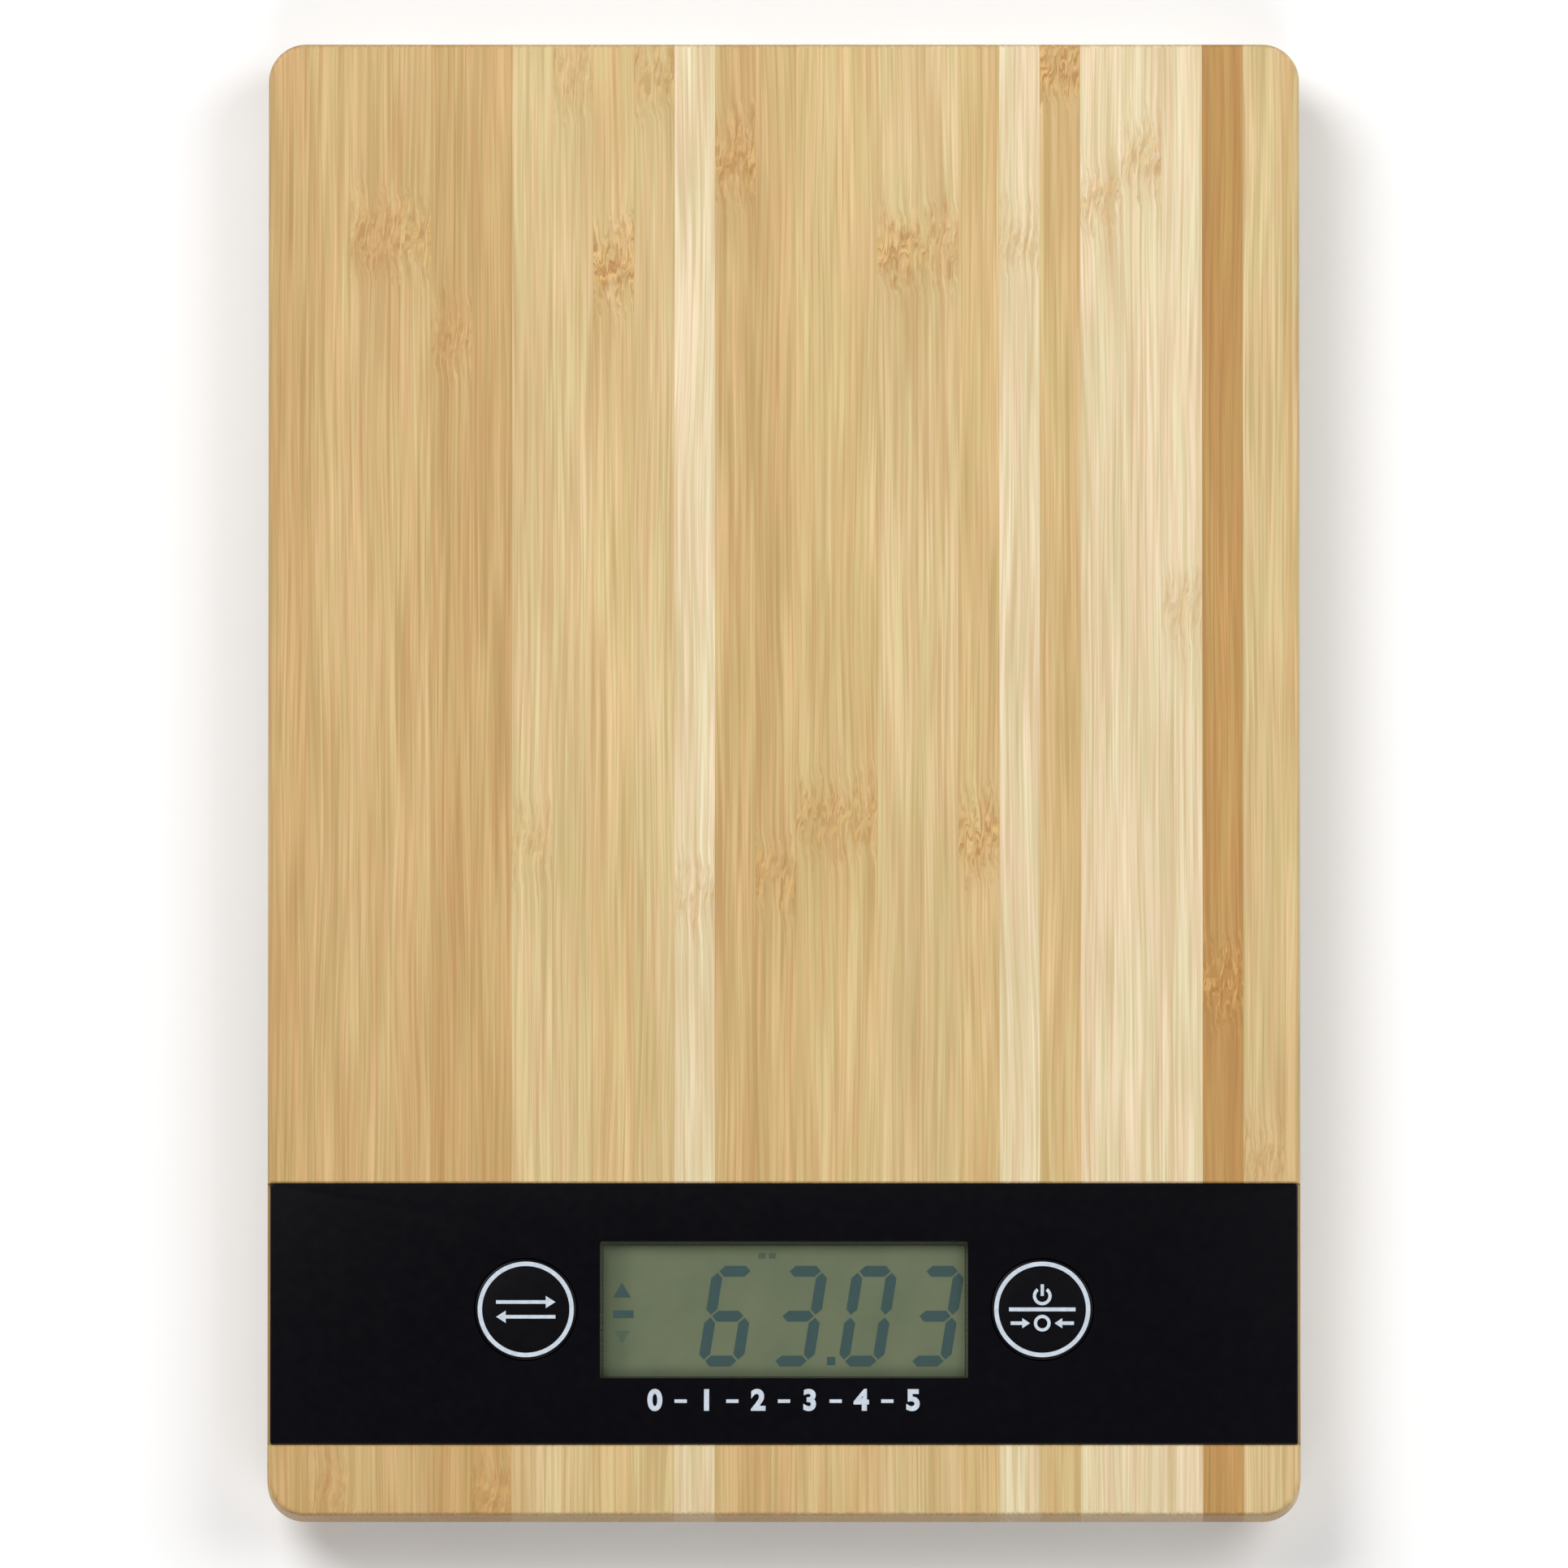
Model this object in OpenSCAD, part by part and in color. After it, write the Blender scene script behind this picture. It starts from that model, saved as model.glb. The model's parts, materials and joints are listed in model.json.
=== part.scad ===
// Kitchen scale: a laminated bamboo platform on a shallow moulded base.
// Four feet press on four load cells. A black panel across the board holds the
// display and two push buttons. A coin cell sits behind a hinged door underneath.
// Millimetres, +Z up, +Y to the back, origin at the middle of the footprint on the table.

/* [Platform board] */
// Width of the bamboo board, left to right
board_w = 160; // [150:1:220]
// Depth of the bamboo board, front to back
board_d = 230; // [195:1:300]
// Thickness of the bamboo board
board_h = 10; // [9.5:0.5:14]
// Radius of the board's upright corners
board_corner_r = 5.8; // [3:0.2:12]
// Bevel along the board's upper edge
board_bevel = 0.8; // [0.3:0.1:1.2]
// Strip of bamboo left in front of the display panel
front_land = 11; // [9.5:0.5:20]

/* [Display panel] */
// Width of the display window
window_w = 57; // [45:0.5:72]
// Depth of the display window, front to back
window_d = 21.4; // [17:0.2:28]
// Panel left in front of and behind the window
window_border = 9.8; // [9:0.2:13]
// How far the window's centre lies behind the panel's centre line
window_shift = 0.7; // [0:0.1:1.5]
// Thickness of the panel sheet
panel_h = 1.5; // [1.2:0.1:2]
// How far the panel's face lies below the board's face
panel_sink = 0.2; // [0:0.05:0.5]
// Gap between each end of the panel and the board's side
panel_end_gap = 0.4; // [0.2:0.1:1]
// Thickness of the adhesive sheet under the panel
tape_h = 0.2; // [0.1:0.05:0.4]

/* [Buttons] */
// Diameter of a button cap
button_d = 15.8; // [12:0.2:19]
// Gap between the window and a button cap
button_gap = 3.6; // [2.6:0.1:8]
// Travel of a button
button_travel = 0.5; // [0.25:0.05:0.6]

/* [Base tray] */
// How far the tray's side stands in from the board's side
tray_inset = 5; // [2:0.5:8]
// Radius of the tray's upright corners
tray_corner_r = 9; // [6:0.5:14]
// Thickness of the tray's side wall
tray_wall = 1.8; // [1.4:0.1:2.4]
// Thickness of the tray's floor
tray_floor = 1.8; // [1.6:0.1:2.4]
// Clear height between the tray's floor and the board
tray_room = 4; // [4:0.1:6]
// Bevel along the tray's lower edge
tray_bevel = 1; // [0.4:0.1:1.4]
// Thickness of the stiffening ribs
rib_t = 1.4; // [1:0.1:2]

/* [Feet and load cells] */
// Height of the tray's underside above the table
foot_proud = 2.2; // [1.6:0.1:3]
// Diameter of a foot
foot_d = 21.8; // [18:0.2:27]
// Diameter of the rubber pad in a foot
pad_d = 17.6; // [14:0.2:17.6]
// Travel of a foot up to its overload stop
foot_travel = 0.5; // [0.3:0.05:0.7]
// Thickness of a load cell's plate
cell_h = 1.2; // [0.8:0.1:1.4]

/* [Electronics] */
// Thickness of the circuit board
pcb_h = 1.2; // [0.8:0.1:1.6]
// Thickness of each of the display's two glasses
lcd_glass_h = 1.1; // [0.7:0.1:1.1]
// Diameter of a wire over its insulation
wire_d = 0.9; // [0.6:0.1:1.1]

/* [Battery] */
// Diameter of the coin cell
coin_d = 20; // [16:0.1:24.5]
// Thickness of the coin cell
coin_h = 3.2; // [2.5:0.1:4]

/* [Hidden] */
$fn = 48;
// clearances
slip = 0.15;        // between a button cap and its hole, or a part and its pocket
fit = 0.05;         // radial clearance of a pin or screw in its hole
loose = 0.3;        // between a foot and its hole
over = 1;           // how far a cutter runs past a face

// levels, from the table up
z_tray = foot_proud;
z_floor = z_tray + tray_floor;
z_board = z_floor + tray_room;
z_top = z_board + board_h;
z_panel_top = z_top - panel_sink;
z_panel = z_panel_top - panel_h;
z_channel = z_panel - tape_h;

// display panel and its channel, which runs across the whole board
panel_w = board_w - 2 * panel_end_gap;
channel_d = window_d + 2 * window_border - 0.2;
panel_d = channel_d - 0.2;
channel_front = -board_d / 2 + front_land;
channel_y = channel_front + channel_d / 2;
window_y = channel_y + window_shift;

// buttons
button_x = window_w / 2 + button_gap + button_d / 2;
key_h = panel_h + 0.1;
key_flange_d = button_d + 1.8;
key_flange_h = 0.9;
z_key_flange = z_panel - 0.1 - key_flange_h;

// lens and liquid crystal display, from the panel down
lens_flange_h = 0.6;
lens_lip = 1.6;
polariser_h = 0.2;
reflector_h = 0.3;
z_lens = z_panel - lens_flange_h;
z_polariser = z_lens - 0.1 - polariser_h;
z_front_glass = z_polariser - lcd_glass_h;
z_rear_glass = z_front_glass - lcd_glass_h;
z_reflector = z_rear_glass - reflector_h;
lcd_w = window_w + 1.4;
lcd_front_d = window_d + 4.2;
lcd_rear_d = window_d + 0.2;
holder_wall = 1;
holder_w = lcd_w + 2 * (slip + holder_wall);
holder_d = lcd_front_d + 2 * (slip + holder_wall);
zebra_w = lcd_w - 4.4;
zebra_t = 1.5;
zebra_h = 3.7;
z_pcb_top = z_front_glass - zebra_h;
z_pcb = z_pcb_top - pcb_h;

// circuit board, its carrier and the bay they fill in the bamboo board
pcb_w = 2 * button_x + button_d + 2.2;
pcb_d = channel_d - 10.4;
carrier_wall = 1.6;
carrier_w = pcb_w + 2 * (1.2 + carrier_wall);
carrier_d = pcb_d + 2 * (0.4 + carrier_wall);
bay_w = carrier_w + 0.4;
bay_d = carrier_d + 0.4;
bay_corner_r = 2;
pcb_screws = [for (x = [-1, 1], y = [-1, 1]) [x * (pcb_w / 2 - 3.5), channel_y + y * (pcb_d / 2 - 2.8)]];
pcb_shank_d = 1.9;
ear_w = 10;
ear_l = 6;
ear_h = 1.4;
ear_x = pcb_w * 0.3;
carrier_screws = [for (x = [-1, 1], y = [-1, 1]) [x * ear_x, channel_y + y * (carrier_d / 2 + ear_l / 2)]];
carrier_shank_d = 2.4;
key_well = 7.2;

// tactile switches under the buttons
tact_w = 6;
tact_cover_h = 0.25;
plunger_d = 3.4;
plunger_up = 0.8;
z_plunger_top = z_key_flange - 0.4;
z_tact_top = z_plunger_top - plunger_up;
tact_h = z_tact_top - z_pcb_top - tact_cover_h;

// tray, feet and load cells
tray_w = board_w - 2 * tray_inset;
tray_d = board_d - 2 * tray_inset;
coin_y = 11;
foot_hole_d = foot_d + 2 * loose;
foot_flange_d = foot_hole_d + 1.4;
post_d = 4;
post_at = (foot_flange_d / 2 + loose + post_d / 2) / sqrt(2);
cell_corner_r = 2.2;
cell_w = 2 * (post_at + cell_corner_r);
corner_inset = (1 - sqrt(0.5)) * (tray_corner_r - tray_wall) + post_at + sqrt(0.5) * cell_corner_r;
foot_inset = tray_wall + 0.5 + max(cell_w / 2, corner_inset);
foot_x = tray_w / 2 - foot_inset;
foot_y = tray_d / 2 - foot_inset;
z_cell = z_floor + 1.2;
cup_top_z = z_cell - foot_travel - 0.1;
z_cell_top = z_cell + cell_h;
pad_h = 1.8;
cup_rim_z = 1;
cell_screw_d = 1.6;
wood_pilot_h = 6.5;
base_shank_d = 2.6;
base_boss_d = 7;
base_head_d = 5.6;
base_head_h = 1.4;
side_screw_y = tray_d * 0.2;
base_screws = concat(
    [for (x = [-1, 1], y = [-1, 1]) [x * (tray_w / 2 - 5), y * side_screw_y]],
    [for (x = [-1, 1]) [x * tray_w * 0.21, tray_d / 2 - 5.5]],
    [for (x = [-1, 1]) [x * ear_x * 0.45, -tray_d / 2 + 5.5]],
    [for (x = [-1, 1]) [x * (coin_d / 2 + 14), coin_y]]);

// battery bay, its door and contacts
door_h = 1.4;
door_pad_h = 0.5;
z_coin = z_tray + door_h + door_pad_h;
z_coin_top = z_coin + coin_h;
bay_room = 0.6;
bay_roof = 1.1;
z_bay_top = z_coin_top + bay_room + bay_roof;
door_open_w = coin_d + 6.4;
door_open_d = coin_d + 14.4;
door_gap = 0.3;
bay_block_w = door_open_w + 4;
bay_block_d = door_open_d + 4;
hinge_r = 1.05;
hinge_pin_r = 0.7;
hinge_pin_l = 1.4;
hinge_y = coin_y + door_open_d / 2 - 0.25 - hinge_r;
z_hinge = z_tray + 1.1;
contact_t = 0.3;
contact_w = 5;
contact_reach = bay_block_w / 2 + 3;

// wires
wire_pitch = wire_d * 1.5;
rear_lead_x = pcb_w * 0.4;
battery_lead_x = contact_reach - 0.6;
rib_x = rear_lead_x - 5;
solder_h = 0.8;
sweep_ref = [0.577, 0.577, 0.577];

bamboo_colour = "#d8bd86";
panel_colour = "#121116";
print_grey = "#d9d9d4";
glass_colour = "#93a08a";
steel_colour = "#b9bcc0";
copper_green = "#2f6b45";
rubber_colour = "#2b2b2d";

// ---------- shapes that repeat ----------

module rounded_square(w, d, r) {
    square([w - 2 * r, d], center = true);
    square([w, d - 2 * r], center = true);
    for (x = [-1, 1], y = [-1, 1])
        translate([x * (w / 2 - r), y * (d / 2 - r)]) circle(r = r);
}

module slab(w, d, r, h) {
    linear_extrude(h) rounded_square(w, d, r);
}

// Cuts a 45 degree bevel c wide from the upper edge, at z = 0, of a rounded slab
module bevel_cutter(w, d, r, c) {
    section = [[-c, 0], [-c, over], [over, over], [over, -c], [0, -c]];
    for (side = [0:3]) {
        across = side % 2 == 0 ? w : d;
        along = side % 2 == 0 ? d : w;
        rotate(90 * side) {
            translate([across / 2, 0, 0]) rotate([90, 0, 0])
                linear_extrude(along - 2 * r, center = true) polygon(section);
            translate([across / 2 - r, along / 2 - r, 0])
                rotate_extrude(angle = 90) translate([r, 0]) polygon(section);
        }
    }
}

// A cross-head screw driven upwards: z = 0 is the plane under its head
module screw(head_d, head_h, shank_d, shank_l) {
    difference() {
        translate([0, 0, -head_h]) cylinder(d1 = head_d * 0.8, d2 = head_d, h = head_h);
        for (a = [0, 90])
            rotate(a) translate([0, 0, -head_h])
                cube([head_d * 0.55, head_d * 0.14, head_h * 1.1], center = true);
    }
    cylinder(d = shank_d, h = shank_l - shank_d);
    translate([0, 0, shank_l - shank_d]) cylinder(d1 = shank_d, d2 = shank_d * 0.2, h = shank_d);
}

module at_feet() {
    for (x = [-1, 1], y = [-1, 1]) at_foot(x, y) children();
}

module at_foot(x, y) {
    translate([x * foot_x, y * foot_y, 0]) mirror([x < 0 ? 1 : 0, 0, 0]) children();
}

module at_buttons() {
    for (x = [-1, 1]) translate([x * button_x, window_y, 0]) children();
}

function unit(v) = v / norm(v);

function heading(p, i) = unit(p[min(i + 1, len(p) - 1)] - p[max(i - 1, 0)]);

function ring(p, i, r, sides) =
    let (t = heading(p, i), a = unit(cross(t, sweep_ref)), b = cross(a, t))
    [for (k = [0:sides - 1]) p[i] + r * (cos(360 * k / sides) * a + sin(360 * k / sides) * b)];

// Cuts the corners of a route, so that a wire bends instead of kinking
function eased(p) = concat([p[0]],
    [for (i = [0:len(p) - 2], s = [0.25, 0.75]) p[i] * (1 - s) + p[i + 1] * s],
    [p[len(p) - 1]]);

module wire(route, sides = 8) {
    p = eased(eased(route));
    n = len(p);
    points = [for (i = [0:n - 1]) each ring(p, i, wire_d / 2, sides)];
    caps = [[for (k = [0:sides - 1]) k], [for (k = [sides - 1:-1:0]) (n - 1) * sides + k]];
    walls = [for (i = [0:n - 2], k = [0:sides - 1])
        [i * sides + (k + 1) % sides, i * sides + k, (i + 1) * sides + k, (i + 1) * sides + (k + 1) % sides]];
    polyhedron(points = points, faces = concat(caps, walls));
}

// ---------- platform ----------

module bamboo_board() {
    color(bamboo_colour) translate([0, 0, z_board]) difference() {
        slab(board_w, board_d, board_corner_r, board_h);
        translate([0, 0, board_h]) bevel_cutter(board_w, board_d, board_corner_r, board_bevel);
        translate([-board_w / 2 - over, channel_front, z_channel - z_board])
            cube([board_w + 2 * over, channel_d, board_h]);
        translate([0, channel_y, -over]) slab(bay_w, bay_d, bay_corner_r, board_h + over);
        translate([0, coin_y, -over])
            slab(bay_block_w + 0.6, bay_block_d + 0.6, bay_corner_r, z_bay_top - z_board + 0.2 + over);
        for (p = base_screws) translate([p.x, p.y, -over])
            cylinder(d = base_shank_d + 2 * fit, h = wood_pilot_h + over);
        for (p = carrier_screws) translate([p.x, p.y, -over])
            cylinder(d = carrier_shank_d + 2 * fit, h = wood_pilot_h + over);
    }
}

module display_panel() {
    color(panel_colour) translate([0, channel_y, z_panel]) linear_extrude(panel_h) difference() {
        square([panel_w, panel_d], center = true);
        translate([0, window_shift]) square([window_w, window_d], center = true);
        for (x = [-1, 1]) translate([x * button_x, window_shift]) circle(d = button_d + 2 * slip);
    }
}

module panel_tape() {
    color("dimgray") translate([0, channel_y, z_channel]) linear_extrude(tape_h) difference() {
        square([panel_w - 1, panel_d - 0.8], center = true);
        square([bay_w + 0.2, bay_d + 0.2], center = true);
    }
}

module display_lens() {
    color("whitesmoke", 0.4) translate([0, window_y, 0]) {
        translate([0, 0, z_lens]) linear_extrude(lens_flange_h)
            square([window_w + 2 * lens_lip, window_d + 2 * lens_lip], center = true);
        translate([0, 0, z_panel]) linear_extrude(panel_h)
            square([window_w - 0.1, window_d - 0.1], center = true);
    }
}

// ---------- buttons ----------

module keycap(x) {
    color(panel_colour) translate([x * button_x, window_y, 0]) {
        translate([0, 0, z_panel_top - key_h]) cylinder(d = button_d, h = key_h);
        translate([0, 0, z_key_flange]) cylinder(d = key_flange_d, h = key_flange_h);
        translate([0, 0, z_plunger_top]) cylinder(d = plunger_d + 1.6, h = z_key_flange - z_plunger_top);
    }
}

module switch_plunger(x) {
    color("ivory") translate([x * button_x, window_y, z_tact_top - 0.8])
        cylinder(d = plunger_d, h = plunger_up + 0.8);
}

module tact_switch_bodies() {
    color(panel_colour) at_buttons() translate([0, 0, z_pcb_top]) {
        difference() {
            translate([-tact_w / 2, -tact_w / 2, 0]) cube([tact_w, tact_w, tact_h]);
            translate([0, 0, tact_h + tact_cover_h - 0.8 - button_travel - 0.1])
                cylinder(d = plunger_d + 2 * slip, h = tact_h);
        }
        for (x = [-1, 1], y = [-1, 1])
            translate([x * (tact_w / 2 + 0.25), y * 2.2, 0.2]) cube([0.5, 0.7, 0.4], center = true);
    }
}

module tact_switch_covers() {
    color(steel_colour) at_buttons() translate([0, 0, z_tact_top - tact_cover_h])
        linear_extrude(tact_cover_h) difference() {
            square(tact_w, center = true);
            circle(d = plunger_d + 2 * slip);
        }
}

// ---------- liquid crystal display ----------

module lcd_sheet(w, d, z, h) {
    translate([-w / 2, window_y - d / 2, z]) cube([w, d, h]);
}

module lcd_polariser() {
    color(glass_colour) lcd_sheet(window_w - 1, window_d - 1, z_polariser, polariser_h);
}

module lcd_front_glass() {
    color(glass_colour) lcd_sheet(lcd_w, lcd_front_d, z_front_glass, lcd_glass_h);
}

module lcd_rear_glass() {
    color(glass_colour) lcd_sheet(lcd_w, lcd_rear_d, z_rear_glass, lcd_glass_h);
}

module lcd_reflector() {
    color("silver") lcd_sheet(lcd_w - 1, lcd_rear_d - 1, z_reflector, reflector_h);
}

module at_zebras() {
    for (y = [-1, 1])
        translate([0, window_y + y * (lcd_rear_d / 2 + lcd_front_d / 2) / 2, z_pcb_top]) children();
}

module zebra_connectors() {
    color("lightpink") at_zebras() translate([-zebra_w / 2, -zebra_t / 2, 0])
        cube([zebra_w, zebra_t, zebra_h]);
}

module lcd_holder() {
    peg_x = holder_w / 2 - 1.4;
    color(print_grey) difference() {
        union() {
            lcd_sheet(holder_w, holder_d, z_pcb_top, z_polariser - z_pcb_top);
            for (x = [-1, 1]) translate([x * peg_x, window_y, z_pcb - 0.3])
                cylinder(d = 1.8, h = pcb_h + 0.4);
        }
        lcd_sheet(lcd_w + 2 * slip, lcd_front_d + 2 * slip, z_front_glass, 5);
        lcd_sheet(lcd_w + 2 * slip, lcd_rear_d + 2 * slip, z_reflector, 5);
        lcd_sheet(zebra_w - 6, lcd_rear_d - 4, z_pcb_top - over, over + 1);
        at_zebras() translate([-zebra_w / 2 - slip, -zebra_t / 2 - slip, -over])
            cube([zebra_w + 2 * slip, zebra_t + 2 * slip, zebra_h + 2 * over]);
    }
}

// ---------- circuit board ----------

module circuit_board() {
    peg_x = holder_w / 2 - 1.4;
    color(copper_green) difference() {
        translate([0, channel_y, z_pcb]) slab(pcb_w, pcb_d, 1, pcb_h);
        for (p = pcb_screws) translate([p.x, p.y, z_pcb - over])
            cylinder(d = pcb_shank_d + 0.3, h = pcb_h + 2 * over);
        for (x = [-1, 1]) translate([x * peg_x, window_y, z_pcb - over])
            cylinder(d = 2, h = pcb_h + 2 * over);
    }
}

module circuit_board_screws() {
    color(steel_colour) for (p = pcb_screws) translate([p.x, p.y, z_pcb])
        screw(3.8, 1.2, pcb_shank_d, 4.6);
}

module controller_chip() {
    cap_d = 12;
    cap_h = 1.6;
    ball_r = (pow(cap_d / 2, 2) + pow(cap_h, 2)) / (2 * cap_h);
    color("#1b1b1d") translate([0, channel_y + 1, z_pcb]) intersection() {
        translate([0, 0, ball_r - cap_h]) sphere(r = ball_r, $fn = 200);
        translate([0, 0, -cap_h]) cylinder(d = cap_d + 1, h = cap_h);
    }
}

module surface_mount_parts() {
    color("tan") for (i = [0:5], side = [-1, 1])
        translate([side * (11 + 3.2 * (i % 3)), channel_y + (i < 3 ? 4.5 : -4), z_pcb - 0.3])
            cube([1.25, 2, 0.6], center = true);
}

module timing_crystal() {
    color(steel_colour) translate([0, channel_y - 9, z_pcb - 1.1]) {
        rotate([0, 90, 0]) cylinder(d = 2, h = 6, center = true);
        translate([0, 0, 0.55]) cube([5, 1.2, 1.1], center = true);
    }
}

module solder_joints() {
    color("silver") for (p = solder_points) translate([p.x, p.y, z_pcb - solder_h])
        cylinder(d1 = wire_d * 1.1, d2 = wire_pitch - 0.1, h = solder_h);
}

module electronics_carrier() {
    block_x = holder_w / 2 + 0.2;
    block_w = carrier_w / 2 - carrier_wall / 2 - block_x;
    rim_h = z_channel - z_board;
    color("#3a3b3f") difference() {
        union() {
            translate([0, channel_y, z_board]) difference() {
                slab(carrier_w, carrier_d, bay_corner_r, rim_h);
                translate([0, 0, -over])
                    slab(carrier_w - 2 * carrier_wall, carrier_d - 2 * carrier_wall, 1, rim_h + 2 * over);
            }
            for (side = [0, 1]) mirror([side, 0, 0])
                translate([block_x, channel_y - carrier_d / 2 + 1, z_pcb_top])
                    cube([block_w, carrier_d - 2, z_key_flange - button_travel - 0.2 - z_pcb_top]);
            for (x = [-1, 1], side = [0, 1]) translate([0, channel_y, 0]) mirror([0, side, 0])
                translate([x * ear_x - ear_w / 2, carrier_d / 2 - carrier_wall, z_board - ear_h])
                    cube([ear_w, ear_l + carrier_wall, ear_h]);
        }
        at_buttons() translate([-key_well / 2, -key_well / 2, z_pcb_top - over])
            cube([key_well, key_well, 10]);
        for (p = pcb_screws) translate([p.x, p.y, z_pcb_top - over])
            cylinder(d = pcb_shank_d + 2 * fit, h = over + 3.6);
        for (p = carrier_screws) translate([p.x, p.y, z_board - ear_h - over])
            cylinder(d = carrier_shank_d + 0.3, h = ear_h + 2 * over);
    }
}

module carrier_screws() {
    color(steel_colour) for (p = carrier_screws) translate([p.x, p.y, z_board - ear_h])
        screw(4.8, 1.3, carrier_shank_d, ear_h + wood_pilot_h - 0.5);
}

// ---------- base tray ----------

module rib(x0, y0, x1, y1) {
    translate([min(x0, x1) - rib_t / 2, min(y0, y1) - rib_t / 2, z_floor - 0.5])
        cube([abs(x1 - x0) + rib_t, abs(y1 - y0) + rib_t, tray_room + 0.5]);
}

module tray_ribs() {
    front_y = channel_y + carrier_d / 2 + ear_l + 3;
    wall_x = tray_w / 2 - 1;
    rear_y = tray_d / 2 - 1;
    for (x = [-1, 1]) {
        rib(x * rib_x, front_y, x * rib_x, rear_y);
        rib(x * battery_lead_x / 2, coin_y + bay_block_d / 2 - 1, x * battery_lead_x / 2, rear_y);
        for (y = [-0.25, 0, 0.25]) rib(x * (rear_lead_x + 5), y * tray_d, x * wall_x, y * tray_d);
        rib(x * rib_x, coin_y, x * (coin_d / 2 + 14), coin_y);
        rib(x * rib_x, front_y + 22, x * (battery_lead_x + 3), front_y + 22);
    }
    for (y = [0.25, 0.37]) rib(-rib_x, y * tray_d, rib_x, y * tray_d);
    rib(-battery_lead_x + 3, front_y + 22, battery_lead_x - 3, front_y + 22);
}

module foot_station() {
    difference() {
        cylinder(d = foot_flange_d + 2 * loose + 2.4, h = z_cell - 0.3);
        translate([0, 0, -over]) cylinder(d = foot_flange_d + 2 * loose, h = z_cell + over);
    }
    for (x = [-1, 1], y = [-1, 1]) translate([x * post_at, y * post_at, 0]) {
        cylinder(d = post_d, h = z_cell);
        if (x == y) cylinder(d = 1.8, h = z_cell_top + 0.5);
    }
}

module base_tray() {
    color(print_grey) difference() {
        union() {
            translate([0, 0, z_tray]) difference() {
                slab(tray_w, tray_d, tray_corner_r, z_board - z_tray);
                translate([0, 0, tray_floor])
                    slab(tray_w - 2 * tray_wall, tray_d - 2 * tray_wall, tray_corner_r - tray_wall, z_board);
            }
            tray_ribs();
            for (p = base_screws) translate([p.x, p.y, z_tray + 0.5])
                cylinder(d = base_boss_d, h = z_board - z_tray - 0.5);
            translate([0, coin_y, z_tray + 0.5])
                slab(bay_block_w, bay_block_d, bay_corner_r, z_bay_top - z_tray - 0.5);
            intersection() {
                at_feet() foot_station();
                translate([0, 0, z_tray + 0.5]) slab(tray_w - 1, tray_d - 1, tray_corner_r - 0.5, z_board);
            }
        }
        translate([0, 0, z_tray]) mirror([0, 0, 1]) bevel_cutter(tray_w, tray_d, tray_corner_r, tray_bevel);
        at_feet() {
            cylinder(d = foot_hole_d, h = z_floor + over);
            for (s = [-1, 1]) translate([s * post_at, -s * post_at, z_tray + 0.8])
                cylinder(d = cell_screw_d + 2 * fit, h = z_cell);
        }
        for (p = base_screws) translate([p.x, p.y, z_tray - over]) {
            cylinder(d = base_shank_d + 0.4, h = z_board);
            cylinder(d = base_head_d + 0.6, h = over + base_head_h + 0.2);
        }
        battery_bay_cuts();
    }
}

module battery_bay_cuts() {
    z_well = z_hinge + hinge_r + 0.15;
    translate([-door_open_w / 2, coin_y - door_open_d / 2, z_tray - over])
        cube([door_open_w, door_open_d, z_well - z_tray + over]);
    translate([0, coin_y, z_tray]) cylinder(d = coin_d + 0.6, h = z_coin_top + bay_room - z_tray);
    translate([0, coin_y - contact_w / 2 - 0.2, z_coin_top])
        cube([contact_reach, contact_w + 0.4, bay_room]);
    translate([-contact_reach, coin_y - contact_w / 2 - 0.2, z_well - 0.01])
        cube([contact_reach, contact_w + 0.4, z_coin_top - z_well]);
    for (x = [-1, 1]) translate([x * (door_open_w / 2 - 0.1), hinge_y, z_hinge]) rotate([0, x * 90, 0])
        cylinder(r = hinge_pin_r + fit, h = hinge_pin_l + 0.3);
    translate([0, coin_y - door_open_d / 2 - 1, z_tray - over]) cylinder(d = 11, h = over + 1);
}

module base_screws() {
    color(steel_colour) for (p = base_screws) translate([p.x, p.y, z_tray + base_head_h + 0.2])
        screw(base_head_d, base_head_h, base_shank_d, z_board - z_tray - base_head_h + wood_pilot_h - 1);
}

// ---------- feet and load cells ----------

module foot_cup(x, y) {
    color(print_grey) at_foot(x, y) difference() {
        union() {
            translate([0, 0, cup_rim_z]) cylinder(d = foot_d, h = cup_top_z - cup_rim_z);
            translate([0, 0, z_floor + 0.1]) cylinder(d = foot_flange_d, h = cup_top_z - z_floor);
            cylinder(d = 5, h = z_cell);
        }
        translate([0, 0, -over]) cylinder(d = pad_d + 0.4, h = pad_h + over);
    }
}

module foot_pad(x, y) {
    color(rubber_colour) at_foot(x, y) cylinder(d = pad_d, h = pad_h);
}

module load_cell(x, y) {
    tongue_w = cell_w * 0.38;
    slot = 1.4;
    color(steel_colour) at_foot(x, y) translate([0, 0, z_cell]) linear_extrude(cell_h) difference() {
        rounded_square(cell_w, cell_w, cell_corner_r);
        difference() {
            translate([-cell_w * 0.3, -tongue_w / 2 - slot]) square([cell_w * 0.6, tongue_w + 2 * slot]);
            translate([-cell_w * 0.3 + slot, -tongue_w / 2]) square([cell_w, tongue_w]);
        }
        for (s = [-1, 1]) {
            translate([s * post_at, s * post_at]) circle(d = 2);
            translate([s * post_at, -s * post_at]) circle(d = cell_screw_d + 2 * fit);
        }
    }
}

module strain_gauges() {
    color("#c78b3a") at_feet() translate([-1.7, -2.5, z_cell_top]) cube([5.4, 5, 0.15]);
}

module gauge_sealant() {
    color("white") at_feet() translate([1, 0, z_cell_top + 0.15]) cylinder(d1 = 6.6, d2 = 5.4, h = 0.5);
}

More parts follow.
